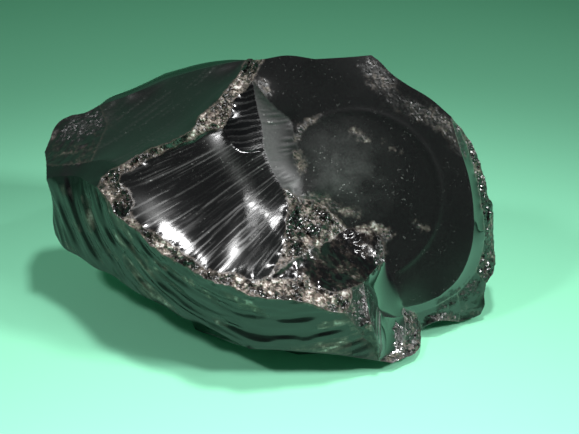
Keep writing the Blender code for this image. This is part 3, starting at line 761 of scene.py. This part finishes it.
def inner_spots(face, local, grain, middle, axes):
    """The points that fill the face, inside a border given in its own frame."""
    outline, heights = local[:, :2], local[:, 2]
    steps_border = grain.steps(outline)
    steps = lattice(steps_border, JITTER if face.powder > CRUSHED else 0.0)
    points = grain.points(steps)
    kept = []
    for start in range(0, len(points), CHUNK):
        part = points[start:start + CHUNK]
        weights, depth, inside = blend_in(part, outline)
        keep = inside & (nearest_gap(steps[start:start + CHUNK], steps_border) > MARGIN)
        kept.append(np.column_stack([part, weights @ heights, depth])[keep])
    flat_x, flat_y, height, depth = np.vstack(kept).T
    flat = np.column_stack([flat_x, flat_y])
    place = middle + flat @ axes[:2] + height[:, None] * axes[2]
    return Spots(flat, depth, place, *grain.polar(flat))


def skewed_wave(turns):
    """A wave whose crests lean to one side, as conchoidal ribs do."""
    angle = 2 * math.pi * turns
    return 0.5 * np.sin(angle) + 0.2 * np.sin(2 * angle)


def broad_relief(face, spots):
    """The face's large forms: its crown, ribs, rings and coarse grit."""
    height = face.crown * spots.depth / max(spots.depth.max(), 1e-9)
    rise = fade(spots.depth, RELIEF_FADE)
    if face.ribs:
        spacing, tall = face.ribs
        height = height + tall * rise * skewed_wave(spots.radius / spacing)
    for ring, tall, width in face.rings:
        height = height + tall * rise * bell(spots.radius - ring, width)
    if face.grit:
        bumps = [noise.noise(Vector(point) * GRIT_SCALE) for point in spots.place]
        height = height + face.grit * rise * np.array(bumps)
    return height


def hackles(across, along, marks):
    """Fine ridges that run along the grain, each with its own place, length, width and height."""
    random = np.random.default_rng(marks.seed)
    height = np.zeros(len(across))
    low, high = along.min(), along.max()
    for _ in range(marks.count):
        place = random.uniform(across.min(), across.max())
        start = random.uniform(low - marks.length / 2, high)
        end = start + marks.length * random.uniform(*HACKLE_LENGTHS)
        half = marks.width * random.uniform(*HACKLE_WIDTHS)
        top = marks.height * random.uniform(*HACKLE_HEIGHTS) ** 2
        profile = np.clip(1 - np.abs(across - place) / half, 0, None)
        rise = np.clip((along - start) / HACKLE_TAPER, 0, 1)
        fall = np.clip((end - along) / HACKLE_TAPER, 0, 1)
        height += top * profile * (rise * fall)
    return height


def gap_to_edge(points, names):
    """Each point's distance from one curved edge, mm."""
    start, end = names.split()
    through = [np.array(point) for point in (CORNERS[start], *BENDS[names], CORNERS[end])]
    return nearest_gap(points, curve_through(through, 1.0))


# Each detail function gives what its face adds: height in mm, powder, and dust with painted sheen.


def slope_detail(spots):
    lines = hackles(spots.place @ (-0.43, 0.9, 0.0), spots.place @ (0.82, 0.39, 0.4), SLOPE_MARKS)
    swell = SWELL * smooth_noise(spots.place, 0.16, 52)
    return 0.03 * lines + swell, 0.0, 0.5 * lines


def painted_hollow_sheen(spots, across_fold):
    """Painted sheen: pale, rougher dust along one end of the fold, where the lamp's reflection turns
    hazy, and painted glows in spots near the front edge.
    """
    x = spots.place[:, 0]
    sheen = 0.6 * bell(across_fold, SHEEN_REACH) * np.clip(-x / 6, 0, 1) * np.clip((x + 17) / 6, 0, 1)
    for middle, amount in SHEEN_SPOTS:
        sheen += amount * bell(np.linalg.norm(spots.place - middle, axis=1), SHEEN_SPOT_REACH)
    return sheen


def hollow_detail(spots):
    near = np.clip(1 - gap_to_edge(spots.place, "corner_in ridge_mid") / DIP_EDGE, 0, 1)
    share = sum(part * bell(spots.place[:, 0] - middle, reach) for middle, reach, part in DIPS)
    dip = DIP_DEPTH * (near**2 - 1) * share
    across_fold = (spots.place[:, :2] - FOLD_AT) @ FOLD_ACROSS
    fold = -FOLD_DEPTH * bell(across_fold, FOLD_REACH)
    across = spots.angle * spots.radius.mean()
    lines = hackles(across, spots.radius, LONG_HACKLES)
    lines = np.clip(lines + 0.6 * hackles(across, spots.radius, SHORT_HACKLES), 0, 1.2)
    # The hackles' pale lines are painted glints of their ridges, and a faint pale film lies over the
    # whole hollow.
    return dip + fold + 0.003 * lines, 0.0, 1.1 * lines + painted_hollow_sheen(spots, across_fold) + 0.12


def notch_detail(spots):
    height = spots.place[:, 2]
    lines = hackles(height, spots.place[:, 0], NOTCH_MARKS)
    treads = (height / TREAD + 0.5 * smooth_noise(spots.place, 0.4, 22)) % 1.0
    # The pale step edges and lines are painted glints.
    return 0.006 * treads, 0.0, 0.2 * lines + 0.3 * (treads > TREAD_EDGE)


def strip_detail(spots):
    marks = hackles(spots.place[:, 2] * 1.3, spots.place[:, 0], STRIP_MARKS)
    # Painted sheen: pale dust thickening towards the star edge stands in for the frosted glow of the
    # reflected lamps, and its marks are painted pale streaks.
    left = np.clip(1 - gap_to_edge(spots.place, "star_top star") / 6.0, 0, 1)
    return marks, 0.0, 1.2 * left + 4.0 * marks - 0.3


def fan_detail(spots):
    """The hackles spread from a point above the fan; their pale lines are painted highlights."""
    offset = spots.place - np.array(CORNERS["fan_top"]) - (-1.0, 0.0, 6.0)
    angle = np.arctan2(offset[:, 0], -offset[:, 2])
    marks = hackles(angle * 9.0, np.linalg.norm(offset, axis=1), FAN_MARKS)
    return 0.4 * marks, 0.0, 5.0 * marks


def disc_detail(spots):
    cloud = 0.5 + 0.3 * smooth_noise(spots.place, 0.37, 7) + 0.2 * smooth_noise(spots.place, 0.83, 8)
    gap = np.linalg.norm(spots.place - CLOUD_AT, axis=1)
    return 0.0, 0.0, 1.3 * np.clip(1.2 - gap / CLOUD_REACH, 0, 1) * cloud


def flow_noise(spots, per_mm, per_radian, salt):
    """Noise drawn out along the ribs."""
    flow = [spots.radius * per_mm, spots.angle * per_radian, np.zeros(len(spots.angle))]
    return smooth_noise(np.column_stack(flow), 1.0, salt)


def wall_detail(spots):
    powder = np.clip(flow_noise(spots, 0.5, 9, 6) * 3 - 1.1, 0, 0.5)
    return RIPPLE * flow_noise(spots, 1.1, 14, 5), powder, 0.0


DETAIL = {
    "slope": slope_detail,
    "hollow": hollow_detail,
    "notch": notch_detail,
    "strip": strip_detail,
    "fan": fan_detail,
    "disc": disc_detail,
    "wall": wall_detail,
}


def crumbs_at(points):
    """At each point, the powder and tint of the streak of crumbs that covers it most."""
    powder = np.zeros(len(points))
    tint = np.full(len(points), -1.0)
    ragged = smooth_noise(points, 0.9, 14) * 0.6 + smooth_noise(points, 1.9, 15) * 0.9
    for start, end, reach, amount, shade in CRUMBS:
        along = np.array(end) - start
        share = np.clip((points - start) @ along / (along @ along), 0, 1)
        gap = np.linalg.norm(points - start - share[:, None] * along, axis=1)
        here = amount * np.clip(CRUMB_EDGE - gap / reach + CRUMB_RAGGED * ragged, 0, 1)
        tint[here > powder] = shade
        powder = np.maximum(powder, here)
    return powder, tint


def dress(name, face, spots):
    """Each point's height above the blended surface, its masks, and how far crumbs cover it."""
    lift = broad_relief(face, spots)
    zones = smooth_noise(spots.place, ZONE_SCALE, 9)
    powder = face.powder * np.clip(0.8 + 0.7 * zones, 0.2, 1.1)
    dust_and_sheen = np.full(len(lift), face.dust_and_sheen)
    near = fade(spots.depth, DETAIL_FADE)
    if name in DETAIL:
        marks, more_powder, more_dust_and_sheen = DETAIL[name](spots)
        lift = lift + near * marks
        powder = powder + more_powder
        dust_and_sheen = dust_and_sheen + more_dust_and_sheen
    coarse, coarse_tint = chips(spots.place, COARSE_CHIP, 50)
    fine, fine_tint = chips(spots.place, FINE_CHIP, 60)
    crumbs, streak_tint = crumbs_at(spots.place)
    lift = lift + near * (face.powder * (coarse * 0.5 + fine * 0.5) + crumbs * fine * CRUMB_LIFT)
    tint = coarse_tint * 0.5 + fine_tint * 0.5 + face.shade
    in_streak = streak_tint + (tint - MIDDLE_TINT) * CRUMB_CONTRAST
    tint = np.clip(np.where(streak_tint >= 0, in_streak, tint) + 0.25 * zones, 0, 1)
    matte = face.matte + CRUMB_MATTE * crumbs
    gloss = face.gloss * np.clip(1 - 2 * crumbs - 0.3 * dust_and_sheen, 0, 1)
    return lift, zip(np.maximum(powder, crumbs), dust_and_sheen, tint, matte, gloss), crumbs


def add_triangles(face, steps, sides, index_of, crush, lump):
    """Joins the face's points, given as steps of its grain with the border's points first."""
    flat = [Vector(point) for point in steps]
    border = [(i, (i + 1) % sides) for i in range(sides)]
    _, _, faces, sources, _, _ = delaunay_2d_cdt(flat, border, [], 1, 1e-6)
    for corners in faces:
        found = [sources[corner][0] for corner in corners]
        lump.triangles.append(tuple(index_of[source] for source in found))
        crumbled = min(crush[source] for source in found) > CRUMBLED
        lump.crushed.append(face.powder > CRUSHED or crumbled)


def fill_face(name, face, lump):
    """Adds the face's inner points and its triangles."""
    loop = [index for pair in corner_pairs(face) for index in lump.edges[pair][:-1]]
    border = np.array([lump.places[index] for index in loop])
    middle, axes = face_frame(border)
    local = (border - middle) @ axes.T
    grain = Grain(face, ((np.array(face.origin) - middle) @ axes.T)[:2])
    spots = inner_spots(face, local, grain, middle, axes)
    lift, masks, crumbs = dress(name, face, spots)
    first = len(lump.places)
    lump.places.extend(spots.place + lift[:, None] * axes[2])
    for index, values in enumerate(masks, first):
        lump.mark(index, values)
    edge_powder = np.maximum(face.powder, crumbs_at(border)[0])
    for index, amount in zip(loop, edge_powder):
        lump.mark(index, (amount, face.dust_and_sheen, MIDDLE_TINT, face.matte, face.gloss))
    steps = np.vstack([grain.steps(local[:, :2]), grain.steps(spots.flat)])
    index_of = [*loop, *range(first, len(lump.places))]
    add_triangles(face, steps, len(loop), index_of, [*edge_powder, *crumbs], lump)


def sharp_edges(mesh, lump):
    """Marks each fracture edge as a crease, but for the soft ones."""
    soft = {frozenset(names.split()) for names in SOFT_EDGES}
    keys = set()
    for (start, end), run in lump.edges.items():
        if frozenset((start, end)) not in soft:
            keys.update(min(pair) * len(lump.places) + max(pair) for pair in zip(run, run[1:]))
    pairs = np.zeros(len(mesh.edges) * 2, dtype=np.int64)
    mesh.edges.foreach_get("vertices", pairs)
    pairs = np.sort(pairs.reshape(-1, 2), axis=1)
    found = np.isin(pairs[:, 0] * len(lump.places) + pairs[:, 1], np.array(sorted(keys)))
    crease = mesh.attributes.new("sharp_edge", "BOOLEAN", "EDGE")
    crease.data.foreach_set("value", found)


def lump_mesh():
    noise.seed_set(NOISE_SEED)
    lump = Lump()
    draw_edges(lump)
    for name, face in FACES.items():
        fill_face(name, face, lump)
    places = np.clip(np.array(lump.places), *BOX)
    mesh = bpy.data.meshes.new("lump")
    mesh.from_pydata((places * MM).tolist(), [], lump.triangles)
    mesh.update()
    mesh.polygons.foreach_set("use_smooth", ~np.array(lump.crushed))
    sharp_edges(mesh, lump)
    masks = np.array([lump.masks[index] for index in range(len(places))], dtype=np.float32)
    for column, name in enumerate(MASKS):
        layer = mesh.attributes.new(name, "FLOAT", "POINT")
        layer.data.foreach_set("value", np.ascontiguousarray(masks[:, column]))
    return mesh


def link(name, data):
    obj = bpy.data.objects.new(name, data)
    bpy.context.scene.collection.objects.link(obj)
    return obj


class Nodes:
    """A short way to build a tree of nodes."""

    def __init__(self, tree):
        self.tree = tree

    def node(self, kind, inputs=(), **settings):
        made = self.tree.nodes.new("ShaderNode" + kind)
        for key, value in settings.items():
            setattr(made, key, value)
        for key, value in dict(inputs).items():
            self.feed(made.inputs[key], value)
        return made

    def feed(self, socket, value):
        if isinstance(value, bpy.types.NodeSocket):
            self.tree.links.new(value, socket)
        else:
            socket.default_value = value

    def math(self, operation, *values, clamp=False):
        inputs = dict(enumerate(values))
        return self.node("Math", inputs, operation=operation, use_clamp=clamp).outputs[0]

    def add(self, a, b):
        return self.math("ADD", a, b)

    def times(self, a, b, clamp=False):
        return self.math("MULTIPLY", a, b, clamp=clamp)

    def share(self, value, span):
        """0 at the span's first number, 1 at its second."""
        inputs = {"Value": value, "From Min": span[0], "From Max": span[1]}
        return self.node("MapRange", inputs).outputs[0]

    def ramp(self, factor, stops):
        made = self.node("ValToRGB", {"Fac": factor})
        elements = made.color_ramp.elements
        while len(elements) < len(stops):
            elements.new(0.5)
        for element, (position, colour) in zip(elements, stops):
            element.position = position
            element.color = (*colour, 1.0)
        return made.outputs["Color"]

    def mix(self, factor, a, b):
        inputs = {"Factor": factor, 6: a, 7: b}
        return self.node("Mix", inputs, data_type="RGBA").outputs[2]


class Shader(Nodes):
    """A new material, with inputs for its surface."""

    def __init__(self, name):
        self.material = bpy.data.materials.new(name)
        self.material.use_nodes = True
        super().__init__(self.material.node_tree)

    def set(self, name, value):
        self.feed(self.tree.nodes["Principled BSDF"].inputs[name], value)

    def mask(self, name):
        return self.node("Attribute", attribute_name=name).outputs["Fac"]

    def noise(self, per_mm, detail):
        place = self.node("TexCoord").outputs["Object"]
        inputs = {"Vector": place, "Scale": per_mm / MM, "Detail": detail}
        return self.node("TexNoise", inputs).outputs["Fac"]

    def spots(self, per_mm, detail, threshold, gain):
        """Nothing but where the noise goes beyond the threshold."""
        beyond = self.math("SUBTRACT", self.noise(per_mm, detail), threshold, clamp=True)
        return self.times(beyond, gain)


def gilsonite():
    """Black glass where it broke clean, brown-grey crumbs where it was crushed."""
    shader = Shader("gilsonite")
    crushed = shader.times(shader.mask("powder"), 0.9, clamp=True)
    dust_and_sheen = shader.mask("dust_and_sheen")
    tint = shader.mask("tint")
    speckle = shader.noise(2.2, 4.0)
    crumb_tint = shader.add(shader.times(tint, 0.6), shader.times(speckle, 0.4))
    # The pale film is dust, and it is also painted sheen where the mask stands in for glows and glints.
    flecks = shader.times(shader.spots(*FLECKS), shader.spots(*FLECK_CLUSTERS), clamp=True)
    film = shader.times(dust_and_sheen, shader.add(shader.times(speckle, EVEN_DUST), flecks), clamp=True)
    clean = shader.mix(film, GLASS_COLOUR, DUST_AND_SHEEN_COLOUR)
    shader.set("Base Color", shader.mix(crushed, clean, shader.ramp(crumb_tint, CRUMB_COLOURS)))
    crumb_rough = shader.add(shader.times(tint, PALE_ROUGHNESS), CRUMB_ROUGHNESS)
    rough = shader.add(shader.times(crushed, crumb_rough), shader.times(dust_and_sheen, DUST_ROUGHNESS))
    uneven = shader.times(shader.noise(0.25, 3.0), UNEVEN_ROUGHNESS)
    rough = shader.add(rough, shader.add(uneven, shader.mask("matte")))
    shader.set("Roughness", shader.add(rough, GLASS_ROUGHNESS))
    shader.set("IOR", GLASS_IOR)
    shader.set("Coat Weight", shader.mask("gloss"))
    shader.set("Coat IOR", COAT_IOR)
    shader.set("Coat Roughness", COAT_ROUGHNESS)
    strength = shader.add(shader.times(crushed, CRUMB_BUMP), GLASS_BUMP)
    inputs = {"Height": shader.noise(1.5, 6.0), "Strength": strength, "Distance": BUMP_HEIGHT * MM}
    shader.set("Normal", shader.node("Bump", inputs).outputs["Normal"])
    return shader.material


def floor():
    """A plain pale mint table."""
    mesh = bpy.data.meshes.new("table")
    turns = np.linspace(0.0, 2 * math.pi, FLOOR_SIDES, endpoint=False)
    ring = [(math.cos(turn) * FLOOR_RADIUS, math.sin(turn) * FLOOR_RADIUS, 0.0) for turn in turns]
    mesh.from_pydata(ring, [], [range(len(ring))])
    shader = Shader("table")
    shader.set("Base Color", FLOOR_COLOUR)
    shader.set("Roughness", FLOOR_ROUGHNESS)
    shader.set("Specular IOR Level", FLOOR_SHINE)
    mesh.materials.append(shader.material)
    return link("table", mesh)


def area_light(name, lamp):
    data = bpy.data.lights.new(name, "AREA")
    data.shape = "RECTANGLE"
    data.size, data.size_y = lamp.size
    data.energy = lamp.energy
    data.spread = math.radians(lamp.spread)
    obj = link(name, data)
    obj.location = AIM + Vector(lamp.towards).normalized() * lamp.distance
    back = (obj.location - LIT_SPOT).normalized()
    over = back.cross(Vector(lamp.along)).normalized()
    obj.rotation_euler = Matrix((over.cross(back), over, back)).transposed().to_euler()


def studio_world():
    """A dim room: a green sweep low down that glows at the right, and dark above it."""
    world = bpy.data.worlds.new("studio")
    world.use_nodes = True
    bpy.context.scene.world = world
    nodes = Nodes(world.node_tree)
    way = nodes.node("SeparateXYZ", {0: nodes.node("TexCoord").outputs["Generated"]}).outputs
    sky = nodes.ramp(nodes.math("MULTIPLY_ADD", way["Y"], SKY_LEAN, way["Z"]), SKY)
    glow = nodes.times(nodes.share(way["Z"], GLOW_HEIGHTS), nodes.share(way["X"], GLOW_SIDES))
    colour = nodes.mix(glow, sky, GLOW_COLOUR)
    nodes.feed(nodes.tree.nodes["Background"].inputs["Color"], colour)


def camera():
    data = bpy.data.cameras.new("camera")
    data.lens = CAMERA_LENS
    data.sensor_width = CAMERA_SENSOR
    obj = link("camera", data)
    back = Vector((0.0, -math.cos(CAMERA_TILT), math.sin(CAMERA_TILT)))
    obj.location = AIM + back * CAMERA_DISTANCE
    obj.rotation_euler = back.to_track_quat("Z", "Y").to_euler()
    bpy.context.scene.camera = obj


def main():
    lump = link("lump", lump_mesh())
    lump.data.materials.append(gilsonite())
    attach(lump, "root")
    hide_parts("gilsonite_lump")
    floor()
    studio_world()
    for name, lamp in LAMPS.items():
        area_light(name, lamp)
    camera()
    bpy.context.scene.view_settings.view_transform = "Standard"


main()
